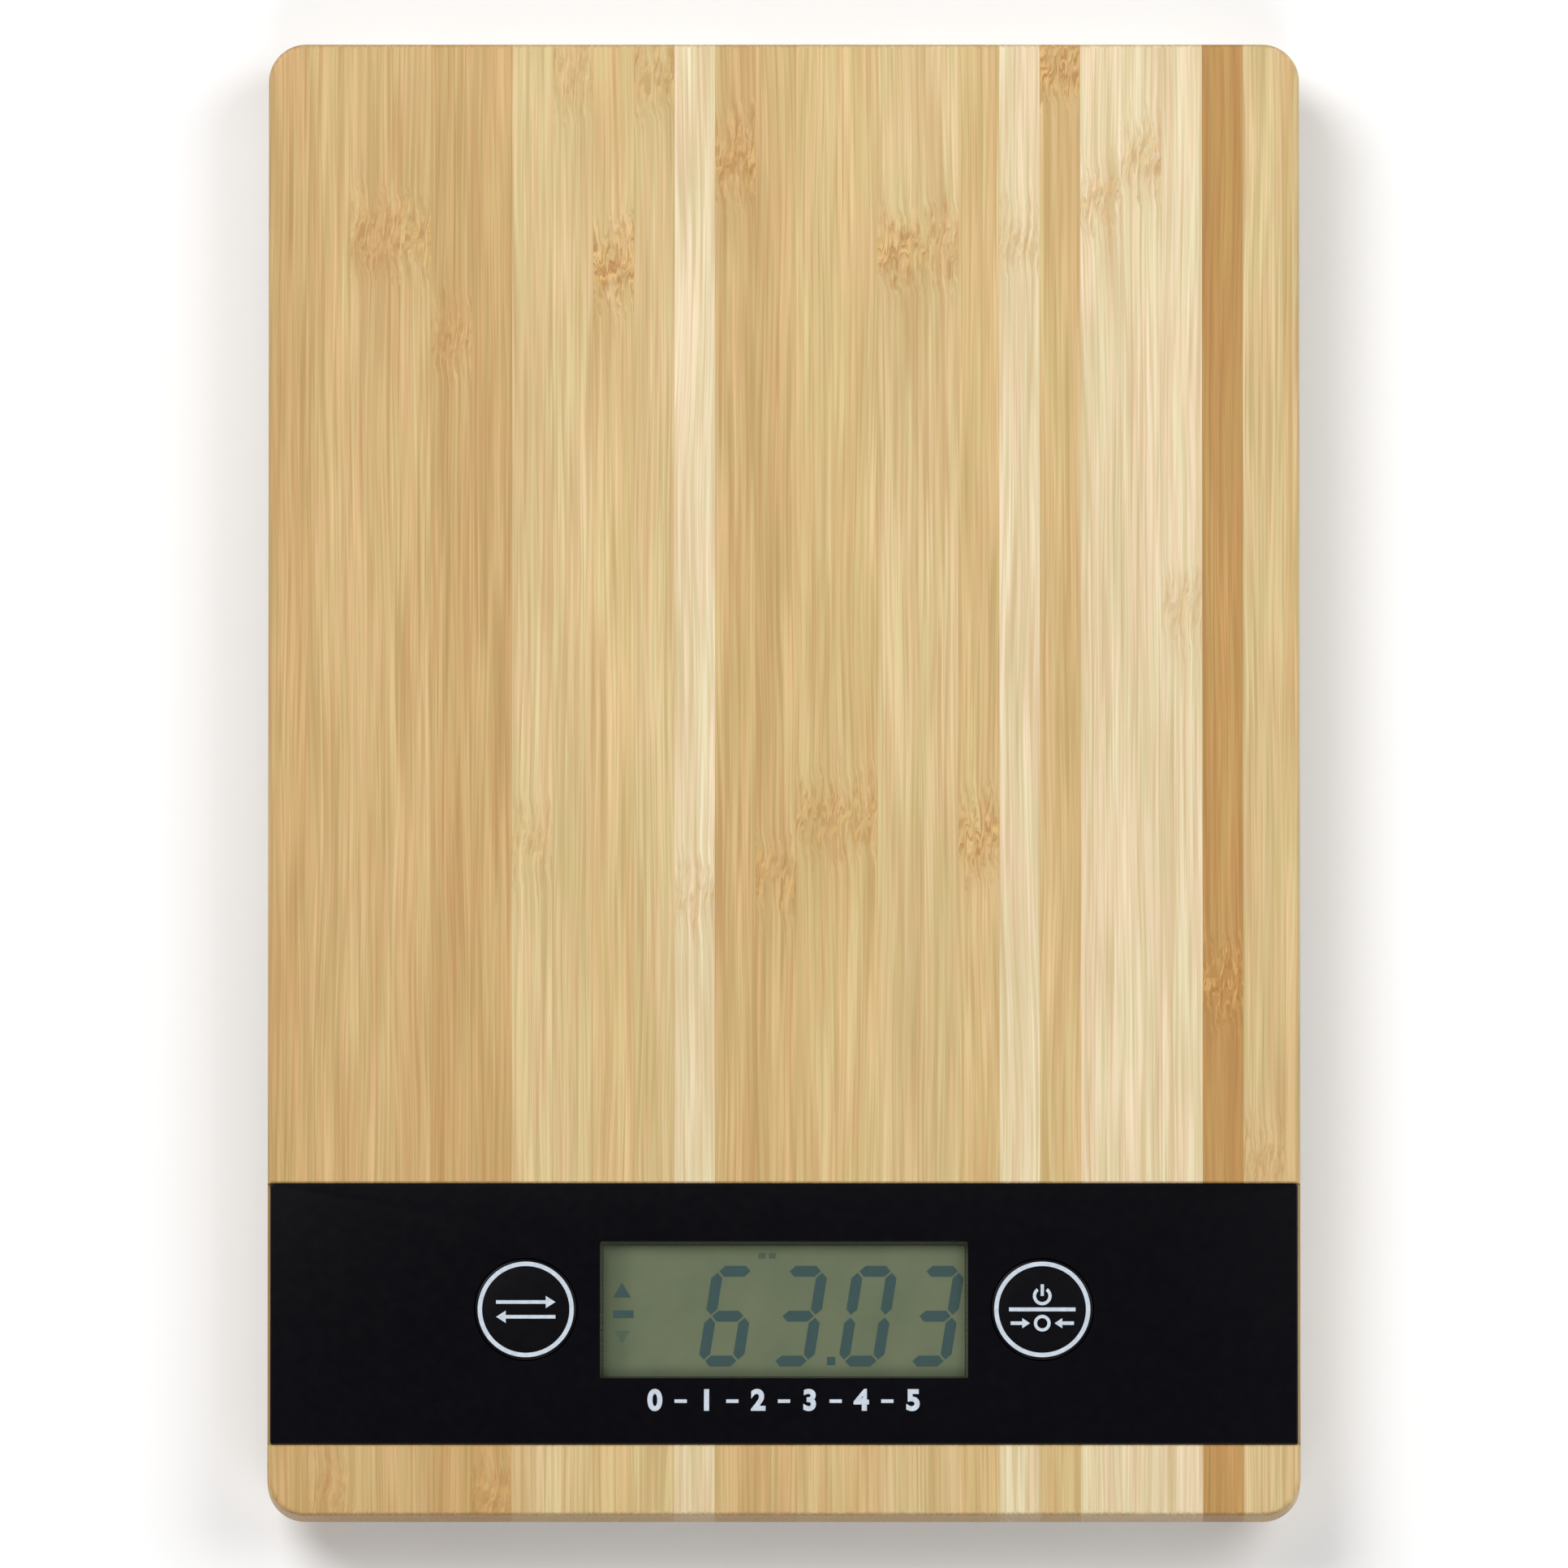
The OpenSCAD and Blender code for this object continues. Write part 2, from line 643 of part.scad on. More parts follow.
module load_cell_screws() {
    color(steel_colour) at_feet() for (s = [-1, 1])
        translate([s * post_at, -s * post_at, z_cell_top]) mirror([0, 0, 1])
            screw(3.2, 0.9, cell_screw_d, cell_h + 2.2);
}

// ---------- wires ----------

z_lead = z_cell_top + wire_d / 2 + 0.15;
z_wire = z_floor + wire_d / 2 + 0.1;
z_solder = z_pcb - solder_h;
lead_start = foot_x - 2.6;
front_pad_x = pcb_w / 2 - 7;
front_pad_y = channel_y - 6;
rear_pad_y = channel_y + pcb_d / 2 - 2.4;
battery_pad_x = 6;

function front_lead(x, k) = [
    [x * lead_start, -foot_y + k * wire_pitch, z_lead],
    [x * (foot_x - 7), -foot_y + k * wire_pitch, z_lead],
    [x * (front_pad_x + 5), (front_pad_y - foot_y) / 2 + k * wire_pitch, z_lead],
    [x * (front_pad_x + 1), front_pad_y + k * wire_pitch, z_lead],
    [x * front_pad_x, front_pad_y + k * wire_pitch, z_solder - 0.6],
    [x * front_pad_x, front_pad_y + k * wire_pitch, z_solder]];

function rear_lead(x, k) =
    let (run_x = x * (rear_lead_x - k * wire_pitch))
    [[x * lead_start, foot_y + k * wire_pitch, z_lead],
     [x * (foot_x - 10), foot_y + k * wire_pitch, z_lead],
     [x * (rear_lead_x + 3), foot_y + k * wire_pitch, z_lead],
     [run_x, foot_y - 3, z_lead - 0.8],
     [run_x, foot_y - 12, z_wire],
     [run_x, 0, z_wire],
     [run_x, rear_pad_y + 8, z_wire],
     [run_x, rear_pad_y + 1, z_wire],
     [run_x, rear_pad_y, z_solder - 1.5],
     [run_x, rear_pad_y, z_solder]];

function battery_lead(x) = [
    [x * battery_lead_x, coin_y - contact_w / 2 - 0.3, z_wire],
    [x * battery_lead_x, coin_y - 20, z_wire],
    [x * battery_lead_x, rear_pad_y + 20, z_wire],
    [x * (battery_pad_x + 3), rear_pad_y + 6, z_wire],
    [x * battery_pad_x, rear_pad_y + 1, z_wire],
    [x * battery_pad_x, rear_pad_y, z_solder - 1.5],
    [x * battery_pad_x, rear_pad_y, z_solder]];

function last(p) = p[len(p) - 1];

solder_points = concat(
    [for (x = [-1, 1], k = [-1:1]) last(front_lead(x, k))],
    [for (x = [-1, 1], k = [-1:1]) last(rear_lead(x, k))],
    [for (x = [-1, 1]) last(battery_lead(x))]);

module cell_leads(x, y) {
    for (k = [-1:1]) color(["red", "white", "black"][k + 1])
        wire(y < 0 ? front_lead(x, k) : rear_lead(x, k));
}

module battery_leads() {
    for (x = [-1, 1]) color(x < 0 ? "red" : "black") wire(battery_lead(x));
}

// ---------- battery ----------

module coin_cell() {
    color(steel_colour) translate([0, coin_y, z_coin]) {
        cylinder(d = coin_d, h = coin_h - 0.5);
        cylinder(d = coin_d - 2.4, h = coin_h);
    }
}

module contact_positive() {
    z_low = z_coin + 0.5;
    color(steel_colour) translate([0, coin_y - contact_w / 2, 0]) {
        translate([-coin_d / 2 - 0.05 - contact_t, 0, z_low]) cube([contact_t, contact_w, coin_h - 1.2]);
        translate([-contact_reach, 0, z_low]) cube([contact_reach - coin_d / 2 - 0.05, contact_w, contact_t]);
    }
}

module contact_negative() {
    color(steel_colour) translate([0, coin_y - contact_w / 2, 0]) {
        translate([-3, 0, z_coin_top]) cube([contact_reach + 3, contact_w, contact_t]);
        translate([contact_reach - contact_t, 0, z_coin + 0.5]) cube([contact_t, contact_w, coin_h]);
    }
}

module battery_door() {
    plate_w = door_open_w - 2 * door_gap;
    plate_d = hinge_y - (coin_y - door_open_d / 2 + door_gap);
    tab_w = 9;
    tab_l = 8;
    color(print_grey) difference() {
        union() {
            translate([-plate_w / 2, hinge_y - plate_d, z_tray]) cube([plate_w, plate_d, door_h]);
            translate([0, hinge_y, z_hinge]) rotate([0, 90, 0]) {
                cylinder(r = hinge_r, h = plate_w, center = true);
                cylinder(r = hinge_pin_r, h = door_open_w + 2 * hinge_pin_l, center = true);
            }
        }
        for (x = [-1, 1]) translate([x * (tab_w / 2 + 0.4) - 0.4, hinge_y - plate_d + 1.4, z_tray - over])
            cube([0.8, tab_l, door_h + 2 * over]);
        for (i = [0:2]) translate([-tab_w / 2 + 1, hinge_y - plate_d + 2.2 + 1.8 * i, z_tray - over])
            cube([tab_w - 2, 0.8, over + 0.4]);
    }
}

module battery_door_pad() {
    color(rubber_colour) translate([0, coin_y, z_tray + door_h]) cylinder(d = coin_d * 0.6, h = door_pad_h);
}

// ---------- output ----------

bamboo_board();
display_panel();
panel_tape();
display_lens();
keycap(-1);  // unit_keycap
keycap(1);  // tare_keycap
switch_plunger(-1);  // unit_switch_plunger
switch_plunger(1);  // tare_switch_plunger
lcd_polariser();
lcd_front_glass();
lcd_rear_glass();
lcd_reflector();
lcd_holder();
zebra_connectors();
circuit_board();
circuit_board_screws();
tact_switch_bodies();
tact_switch_covers();
controller_chip();
surface_mount_parts();
timing_crystal();
solder_joints();
electronics_carrier();
carrier_screws();
base_tray();
base_screws();
foot_cup(-1, -1);  // foot_cup_front_left
foot_cup(1, -1);  // foot_cup_front_right
foot_cup(-1, 1);  // foot_cup_rear_left
foot_cup(1, 1);  // foot_cup_rear_right
foot_pad(-1, -1);  // foot_pad_front_left
foot_pad(1, -1);  // foot_pad_front_right
foot_pad(-1, 1);  // foot_pad_rear_left
foot_pad(1, 1);  // foot_pad_rear_right
load_cell(-1, -1);  // load_cell_front_left
load_cell(1, -1);  // load_cell_front_right
load_cell(-1, 1);  // load_cell_rear_left
load_cell(1, 1);  // load_cell_rear_right
strain_gauges();
gauge_sealant();
load_cell_screws();
cell_leads(-1, -1);  // cell_leads_front_left
cell_leads(1, -1);  // cell_leads_front_right
cell_leads(-1, 1);  // cell_leads_rear_left
cell_leads(1, 1);  // cell_leads_rear_right
battery_leads();
coin_cell();
contact_positive();
contact_negative();
battery_door();
battery_door_pad();
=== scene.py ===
"""A flat kitchen scale: a bamboo board on a light tray, with a display and two buttons in a black panel."""
import json
import math

import bmesh
import bpy
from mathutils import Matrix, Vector


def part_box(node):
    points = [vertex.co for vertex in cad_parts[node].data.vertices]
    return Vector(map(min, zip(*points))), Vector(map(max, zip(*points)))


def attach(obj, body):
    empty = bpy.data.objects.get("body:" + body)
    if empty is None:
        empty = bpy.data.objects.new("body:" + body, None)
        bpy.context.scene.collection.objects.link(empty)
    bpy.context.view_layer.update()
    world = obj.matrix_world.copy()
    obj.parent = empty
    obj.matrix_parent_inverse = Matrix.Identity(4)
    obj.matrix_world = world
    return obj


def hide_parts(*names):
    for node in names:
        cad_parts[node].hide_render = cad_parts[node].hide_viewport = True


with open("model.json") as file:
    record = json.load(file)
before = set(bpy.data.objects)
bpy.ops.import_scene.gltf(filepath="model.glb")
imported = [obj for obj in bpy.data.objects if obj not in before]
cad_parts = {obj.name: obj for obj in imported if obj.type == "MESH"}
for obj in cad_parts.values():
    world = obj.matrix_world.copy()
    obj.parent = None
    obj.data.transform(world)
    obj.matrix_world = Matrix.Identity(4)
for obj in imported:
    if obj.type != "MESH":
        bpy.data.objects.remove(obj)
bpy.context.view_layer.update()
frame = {"nodes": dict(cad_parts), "record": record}

MM = 0.001
RECORD = frame["record"]
SLOT_OF = {row["node"]: row["material_slot"] for row in RECORD["subparts"]}
FINISH = {row["slot"]: row for row in RECORD["materials"]}
SIDES = ("unit", "tare")

# ---------- sizes, in millimetres, that the frame doesn't give ----------

BOARD_CORNER_R = 5.8
BOARD_ROUND = 0.9
BOARD_ROUND_BELOW = 0.72
CHANNEL_FIT = 0.1
CHANNEL_LIP = 0.25
BAY = (104.0, 34.8, 2.0)            # width, depth and corner radius
POCKET = (31.0, 39.0, 2.0)          # width, depth and corner radius
POCKET_DEPTH = 1.2
STRIP_W = 6.3
PANEL_CORNER_R = 0.5
PANEL_ROUND = 0.22
PANEL_ROUND_BELOW = 0.05
WINDOW = (57.0, 21.4, 0.3)          # width, depth and corner radius
KEY_HOLE_D = 16.1
KEY_D = 15.8
KEY_ROUND = 0.25
KEY_FLANGE_H = 0.9
KEY_STUB_H = 0.4
KEY_STUB_RIM = 1.6
CUT_OVER = 2.0                      # how far a cutter goes past the piece
EDGE_BREAK = {"base_tray": 0.25, "battery_door": 0.15}
FOOT_EDGE_BREAK = 0.2

INK_H = 0.03
RING_OUT_D = 14.9
RING_LINE = 0.68
ARROW_LINE = 0.55
POWER_RISE = 2.1                    # the power sign's middle above the key's
NOUGHT_DROP = 2.15                  # the nought's middle below the key's
NOUGHT_D = 2.6
NOUGHT_LINE = 0.5
KEY_BAR = (10.3, 0.6)               # width and height

DIAL_LAST = 5
DIAL_PITCH = 8.0
DIAL_DROP = 3.6                     # the row of numerals below the window
TICK = (1.9, 0.55)                  # width and height
NUMERAL_H = 3.1
NUMERAL_THICKEN = 0.18
FONT_NUMERAL_SHARE = 0.70           # a numeral's height as a share of the font's size

READING = "6303"
DIGIT_X = (-8.7, 2.2, 13.0, 23.4)
DIGIT_W = 7.0
DIGIT_H = 15.7
DIGIT_DROP = 0.8                    # the figures' middle below the display's
SEGMENT_SETS = {"0": "abcdef", "3": "abcdg", "6": "acdefg"}
SEGMENT_W = 1.7
SEGMENT_GAP = 0.22
SLANT = math.tan(math.radians(9))
POINT_X = 7.3
POINT_W = 1.3
# Signs left of the figures: x, rise from the figures' middle, width and height
LIT_ARROW = (-25.1, 2.9, 2.8, 2.3)
LIT_BAR = (-24.9, 0.3, 3.2, 1.2)
FAINT_ARROW = (-25.1, -2.3, 2.4, -2.1)
# Two faint dots near the top
DOT_X = (-3.4, -1.8)
DOT_DROP = 1.6
DOT = (1.1, 0.9)                    # width and height

# ---------- light and camera, in metres, watts and radians ----------

FLOOR_HALF = 6.0
LIGHT_D = 0.9
LIGHTS = (("key", (-0.62, 0.62, 1.1), 13.8),
          ("fill", (0.8, 0.3, 1.1), 7.9),
          ("front", (0.1, -0.85, 1.1), 6.0))
CAMERA_DISTANCE = 8.0
CAMERA_LEAN = math.radians(7.2)
CAMERA_SHARE = 0.658                # the board's width as a share of the picture's
CAMERA_AIM_Y = -0.0009


# ---------- shader helper ----------

class Shader:
    """One material's node tree, with a Principled shader and coordinates in millimetres."""

    def __init__(self, name, colour, roughness, **constants):
        self.material = bpy.data.materials.new(name)
        self.material.use_nodes = True
        self.tree = self.material.node_tree
        self.tree.nodes.clear()
        out = self.node("ShaderNodeOutputMaterial")
        self.bsdf = self.node("ShaderNodeBsdfPrincipled")
        self.join(self.bsdf.outputs[0], out.inputs[0])
        self.bsdf.inputs["Base Color"].default_value = (*colour, 1)
        self.bsdf.inputs["Roughness"].default_value = roughness
        for socket, value in constants.items():
            self.bsdf.inputs[socket.replace("_", " ")].default_value = value
        coordinates = self.node("ShaderNodeTexCoord")
        self.normal = coordinates.outputs["Normal"]
        scaled = self.node("ShaderNodeVectorMath", operation="SCALE")
        self.join(coordinates.outputs["Object"], scaled.inputs[0])
        scaled.inputs["Scale"].default_value = 1 / MM
        self.place = scaled.outputs[0]

    def node(self, kind, **settings):
        made = self.tree.nodes.new(kind)
        for key, value in settings.items():
            setattr(made, key, value)
        return made

    def join(self, source, target):
        """Links a socket, or sets the target's constant."""
        if isinstance(source, bpy.types.NodeSocket):
            self.tree.links.new(source, target)
        else:
            target.default_value = source

    def math(self, operation, *values, clamp=False):
        made = self.node("ShaderNodeMath", operation=operation, use_clamp=clamp)
        for socket, value in zip(made.inputs, values):
            self.join(value, socket)
        return made.outputs[0]

    def split(self, vector):
        made = self.node("ShaderNodeSeparateXYZ")
        self.join(vector, made.inputs[0])
        return made.outputs

    def vector(self, x, y, z):
        made = self.node("ShaderNodeCombineXYZ")
        for socket, value in zip(made.inputs, (x, y, z)):
            self.join(value, socket)
        return made.outputs[0]

    def times(self, first, *others):
        for other in others:
            first = self.math("MULTIPLY", first, other)
        return first

    def plus(self, first, second):
        return self.math("ADD", first, second)

    def minus(self, first, second):
        return self.math("SUBTRACT", first, second)

    def over(self, first, second):
        return self.math("DIVIDE", first, second)

    def size_of(self, value):
        return self.math("ABSOLUTE", value)

    def noise(self, place, scale=1.0, detail=3.0, roughness=0.55):
        made = self.node("ShaderNodeTexNoise")
        self.join(place, made.inputs["Vector"])
        made.inputs["Scale"].default_value = scale
        made.inputs["Detail"].default_value = detail
        made.inputs["Roughness"].default_value = roughness
        return made.outputs[0]

    def spread(self, value, low, high, to_low=0.0, to_high=1.0, smooth=False):
        made = self.node("ShaderNodeMapRange", clamp=True)
        made.interpolation_type = "SMOOTHSTEP" if smooth else "LINEAR"
        for socket, number in zip(made.inputs, (value, low, high, to_low, to_high)):
            self.join(number, socket)
        return made.outputs[0]

    def mix(self, share, first, second, blend="MIX"):
        made = self.node("ShaderNodeMix", data_type="RGBA", blend_type=blend)
        self.join(share, made.inputs[0])
        self.join(first, made.inputs[6])
        self.join(second, made.inputs[7])
        return made.outputs[2]

    def steps(self, position, colours):
        """One colour for each equal step of position from 0 to 1."""
        made = self.node("ShaderNodeValToRGB")
        ramp = made.color_ramp
        ramp.interpolation = "CONSTANT"
        ramp.elements.remove(ramp.elements[1])
        ramp.elements[0].color = colours[0]
        for i in range(1, len(colours)):
            if colours[i] != colours[i - 1]:
                ramp.elements.new(i / len(colours)).color = colours[i]
        self.join(position, made.inputs[0])
        return made.outputs[0]

    def bump(self, height, strength, distance):
        made = self.node("ShaderNodeBump")
        self.join(height, made.inputs["Height"])
        made.inputs["Strength"].default_value = strength
        made.inputs["Distance"].default_value = distance * MM
        self.join(made.outputs[0], self.bsdf.inputs["Normal"])

    def colour(self, source):
        self.join(source, self.bsdf.inputs["Base Color"])

    def roughness(self, source):
        self.join(source, self.bsdf.inputs["Roughness"])


def linear(red, green, blue):
    """A display colour of 0 to 255 as the linear colour that shaders take."""
    def one(value):
        value /= 255
        return value / 12.92 if value <= 0.04045 else ((value + 0.055) / 1.055) ** 2.4
    return one(red), one(green), one(blue)


def rgba(colour, factor=1.0):
    return (*(c * factor for c in colour), 1)


# ---------- bamboo ----------

# Tone of each glued strip from left to right: pale, cream, honey, tan, gold, caramel
STRIP_TONES = "gtttgg" "cchcpt" "thhcch" "phpppk" "ch"
TONES = {
    "p": linear(234, 218, 183),
    "c": linear(219, 196, 147),
    "h": linear(219, 193, 141),
    "t": linear(211, 181, 128),
    "g": linear(206, 173, 118),
    "k": linear(195, 154, 93),
}
TONE_GAIN = 0.955
# Where each strip's knuckle lies, in mm from the board's middle, and how strongly it shows
KNUCKLES = {
    1: (-112, 0.35), 2: (85, 0.6), 3: (85, 0.6), 4: (69, 0.4), 5: (-112, 0.5), 6: (-10, 0.35),
    7: (110, 0.4), 8: (80, 1.0), 9: (110, 0.5), 10: (-18, 0.3), 11: (97, 0.7), 12: (-15, 0.5),
    13: (-6, 0.55), 14: (-6, 0.6), 15: (83, 0.9), 16: (83, 0.6), 17: (-9, 0.8), 18: (85, 0.35),
    19: (112, 0.9), 20: (91, 0.45), 21: (97, 0.5), 22: (27, 0.35), 23: (-32, 0.8), 24: (-60, 0.4),
}
# Strips that darken towards their left edge (positive) or right edge (negative)
SHADED = {1: 0.5, 4: 0.5, 11: -0.5, 15: -0.4, 19: -0.5, 20: -0.4, 23: 0.8}
STRIP_SEED = 41.7                   # keeps each strip's noise apart from the next one's
# Measures of a knuckle in mm: how ragged it is, where its stain and its rays begin and end above
# and below it, and the start, peak and end of its tail
RAGGED = 14.0
STAIN_REACH = (0.5, 8.0)
RAY_REACH = (2.0, 17.0)
TAIL = (-42.0, -1.0, 3.0)
# Colours of the knuckles and the cut ends
KNUCKLE_STAIN = linear(196, 144, 74)
KNUCKLE_DARK = linear(160, 104, 42)
KNUCKLE_PALE = linear(236, 192, 120)
PORE = linear(118, 84, 46)
# What the strips' own colour is multiplied by
BROWNER = (0.64, 0.52, 0.36, 1)
CREAMIER = (1.10, 1.13, 1.24, 1)
REDDER = (1.03, 0.985, 0.96, 1)
GREENER = (0.97, 1.0, 0.93, 1)


class Bamboo(Shader):
    """Glued strips of bamboo that run along Y, with fibres, knuckles, seams and cut ends."""

    def __init__(self):
        super().__init__("bamboo", TONES["c"], 0.42, Specular_IOR_Level=0.35)
        low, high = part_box("bamboo_board")
        self.half_length = high.y / MM
        self.x, self.y, self.z = self.split(self.place)
        self.find_strip(low.x / MM)
        self.find_knuckle()
        self.bend_fibres()
        self.draw_fibres()
        body = self.fibre_colour()
        body = self.add_knuckles(body)
        body = self.add_seams(body)
        self.colour(self.add_cut_ends(body))
        self.roughness(self.spread(self.fine, 0, 1, 0.38, 0.50))
        self.bump(self.plus(self.times(self.fine, -1.0), self.times(self.seam, -1.5)), 0.35, 0.03)

    def find_strip(self, left):
        """Where a point's strip is, how far across it the point lies, and a number of the strip's own."""
        position = self.over(self.minus(self.x, left), STRIP_W)
        index = self.math("FLOOR", position)
        self.across = self.math("FRACT", position)
        self.step = self.over(self.plus(index, 0.5), len(STRIP_TONES))
        self.own = self.times(index, STRIP_SEED)

    def per_strip(self, values):
        return self.split(self.steps(self.step, [(v, v, v, 1) for v in values]))[0]

    def find_knuckle(self):
        """The stain at the strip's knuckle, the rays about it and the long tail below it."""
        strips = range(len(STRIP_TONES))
        length = 2 * self.half_length
        places = [(KNUCKLES.get(i, (0, 0))[0] + self.half_length) / length for i in strips]
        knuckle_y = self.minus(self.times(self.per_strip(places), length), self.half_length)
        strength = self.per_strip([KNUCKLES.get(i, (0, 0))[1] for i in strips])
        ragged = self.noise(self.stretched(0.9, 0.12), detail=2)
        above = self.minus(self.minus(self.y, knuckle_y), self.times(ragged, RAGGED))
        self.above = self.plus(above, RAGGED / 2)
        reach = self.size_of(self.above)
        self.patch = self.times(self.spread(reach, *STAIN_REACH, 1.0, 0.0, smooth=True), strength)
        self.rays = self.times(self.spread(reach, *RAY_REACH, 1.0, 0.0, smooth=True), strength)
        below = self.spread(self.above, *TAIL[:2], smooth=True)
        front = self.spread(self.above, *TAIL[1:], 1.0, 0.0, smooth=True)
        self.tail = self.times(below, front, strength)

    def stretched(self, x_scale, y_scale):
        return self.vector(self.times(self.x, x_scale), self.times(self.y, y_scale), self.own)

    def bend_fibres(self):
        """The fibres sway along the board, and lean and swirl where they pass a knuckle."""
        swirl = self.noise(self.stretched(0.25, 0.11), detail=1)
        sway = self.noise(self.stretched(0.05, 0.014), detail=1)
        push = self.times(self.minus(swirl, 0.5), self.times(self.patch, 1.7))
        push = self.plus(push, self.times(self.minus(sway, 0.5), 2.4))
        lean = self.times(self.above, 0.42, self.patch)
        self.bent = self.plus(self.x, self.minus(push, lean))

    def fibres(self, pitch, length, detail, offset, low, high):
        """Fibres of a pitch and length in mm, from 0 where the noise is low to 1 where it is high."""
        depth = self.plus(self.over(self.z, pitch), self.plus(self.own, offset))
        place = self.vector(self.over(self.bent, pitch), self.over(self.y, length), depth)
        return self.spread(self.noise(place, detail=detail, roughness=0.6), low, high)

    def draw_fibres(self):
        """Fibres of eight kinds: pitch, length, detail, a place in the noise, and its low and high."""
        self.fine = self.fibres(0.30, 26, 1, 0, 0.42, 0.62)
        self.line = self.fibres(0.62, 38, 1, 77, 0.50, 0.66)
        self.streak = self.fibres(1.1, 50, 1, 9, 0.42, 0.60)
        self.drift = self.fibres(3.4, 55, 2, 23, 0.38, 0.63)
        self.tint = self.fibres(1.9, 24, 1, 131, 0.40, 0.60)
        self.dashes = self.fibres(0.44, 3.0, 2, 51, 0.48, 0.58)
        self.dashes_long = self.fibres(0.52, 11.0, 1, 171, 0.50, 0.60)
        self.flecks = self.fibres(0.46, 2.4, 1, 93, 0.54, 0.62)

    def fibre_colour(self):
        """Each strip's tone with its fibres, and darker towards one edge in the shaded strips."""
        base = self.steps(self.step, [rgba(TONES[letter], TONE_GAIN) for letter in STRIP_TONES])
        self.brown = self.mix(1.0, base, BROWNER, "MULTIPLY")
        body = self.mix(self.times(self.streak, 0.74), base, self.mix(1.0, base, CREAMIER, "MULTIPLY"))
        for fibres, share in ((self.drift, 0.34), (self.fine, 0.38), (self.line, 0.46)):
            body = self.mix(self.times(fibres, share), body, self.brown)
        body = self.mix(1.0, body, self.mix(self.tint, REDDER, GREENER), "MULTIPLY")
        shading = self.per_strip([SHADED.get(i, 0) / 2 + 0.5 for i in range(len(STRIP_TONES))])
        slope = self.times(self.minus(shading, 0.5), self.minus(0.5, self.across))
        return self.mix(self.math("ADD", self.times(slope, 0.7), 0.03, clamp=True), body, self.brown)

    def add_knuckles(self, body):
        body = self.mix(self.times(self.tail, self.spread(self.streak, 0, 1, 0.32, 0.10)), body, self.brown)
        body = self.mix(self.times(self.rays, self.dashes_long, 0.55), body, self.brown)
        body = self.mix(self.times(self.patch, 0.24), body, rgba(KNUCKLE_STAIN))
        body = self.mix(self.times(self.patch, self.dashes, 0.68), body, rgba(KNUCKLE_DARK))
        return self.mix(self.times(self.patch, self.flecks, 0.50), body, rgba(KNUCKLE_PALE))

    def add_seams(self, body):
        """Glue lines between the strips, and a slightly browner board towards the front."""
        edge = self.minus(0.5, self.size_of(self.minus(self.across, 0.5)))
        glue = self.spread(edge, 0.0, 0.028, 1.0, 0.0)
        self.seam = self.times(glue, self.spread(self.drift, 0, 1, 0.12, 0.4))
        body = self.mix(self.seam, body, self.brown)
        front = self.spread(self.y, -self.half_length, self.half_length, 0.10, 0.0)
        return self.mix(front, body, self.brown)

    def add_cut_ends(self, body):
        """Browner ends with open pores, on the board's front and back; the browning is partly end grain and
        partly painted shade.
        """
        end = self.spread(self.size_of(self.split(self.normal)[1]), 0.5, 0.9)
        grain = self.noise(self.vector(self.x, 0.0, self.z), scale=2.6, detail=3)
        pores = self.spread(self.spread(grain, 0.46, 0.6), 0, 1, 0.10, 0.60)
        # Partly painted shade: the ends are browned beyond the end grain's own colour, so that the front
        # face looks shaded
        body = self.mix(end, body, self.mix(0.62, body, self.brown))
        return self.mix(self.times(end, pores), body, rgba(PORE))


# ---------- other materials, one function to a kind of surface ----------

def black_sheet(name, roughness):
    s = Shader(name, linear(8, 7, 11), roughness, Specular_IOR_Level=0.15)
    haze = s.noise(s.place, scale=0.03, detail=1)
    smear = s.noise(s.place, scale=0.6, detail=4)
    s.colour(s.mix(haze, rgba(linear(6, 5, 9)), rgba(linear(9, 8, 13))))
    s.roughness(s.spread(smear, 0.3, 0.7, roughness - 0.01, roughness + 0.03))
    s.bump(s.noise(s.place, scale=9.0, detail=2), 0.05, 0.01)
    return s.material


def moulded(name, colour):
    """Plastic from a spark-textured tool, with slight flow marks."""
    s = Shader(name, colour, 0.55)
    grain = s.noise(s.place, scale=3.5, detail=4)
    flow = s.noise(s.place, scale=0.03, detail=2)
    s.colour(s.mix(flow, rgba(colour, 0.94), rgba(colour, 1.04)))
    s.roughness(s.spread(grain, 0.3, 0.7, 0.47, 0.63))
    s.bump(grain, 0.4, 0.03)
    return s.material


def glossy(name, colour):
    s = Shader(name, colour, 0.25)
    s.colour(s.mix(s.noise(s.place, scale=0.2), rgba(colour, 0.92), rgba(colour, 1.06)))
    s.roughness(s.spread(s.noise(s.place, scale=1.4), 0.3, 0.7, 0.19, 0.35))
    return s.material


def rubber(name, colour):
    s = Shader(name, colour, 0.78, Specular_IOR_Level=0.3)
    dust = s.spread(s.noise(s.place, scale=0.7, detail=5), 0.45, 0.75)
    s.colour(s.mix(s.times(dust, 0.25), rgba(colour), rgba(colour, 2.2)))
    s.roughness(s.spread(dust, 0, 1, 0.72, 0.9))
    s.bump(s.noise(s.place, scale=5.0, detail=3), 0.5, 0.03)
    return s.material


def metal(name, colour):
    """Rolled or plated metal with fine lines along X."""
    s = Shader(name, colour, 0.32, Metallic=1.0)
    x, y, z = s.split(s.place)
    lines = s.noise(s.vector(s.times(x, 0.15), s.times(y, 9.0), s.times(z, 9.0)))
    stains = s.noise(s.place, scale=0.4, detail=4)
    s.colour(s.mix(stains, rgba(colour, 0.88), rgba(colour, 1.06)))
    s.roughness(s.spread(lines, 0.3, 0.7, 0.24, 0.44))
    s.bump(lines, 0.12, 0.01)
    return s.material


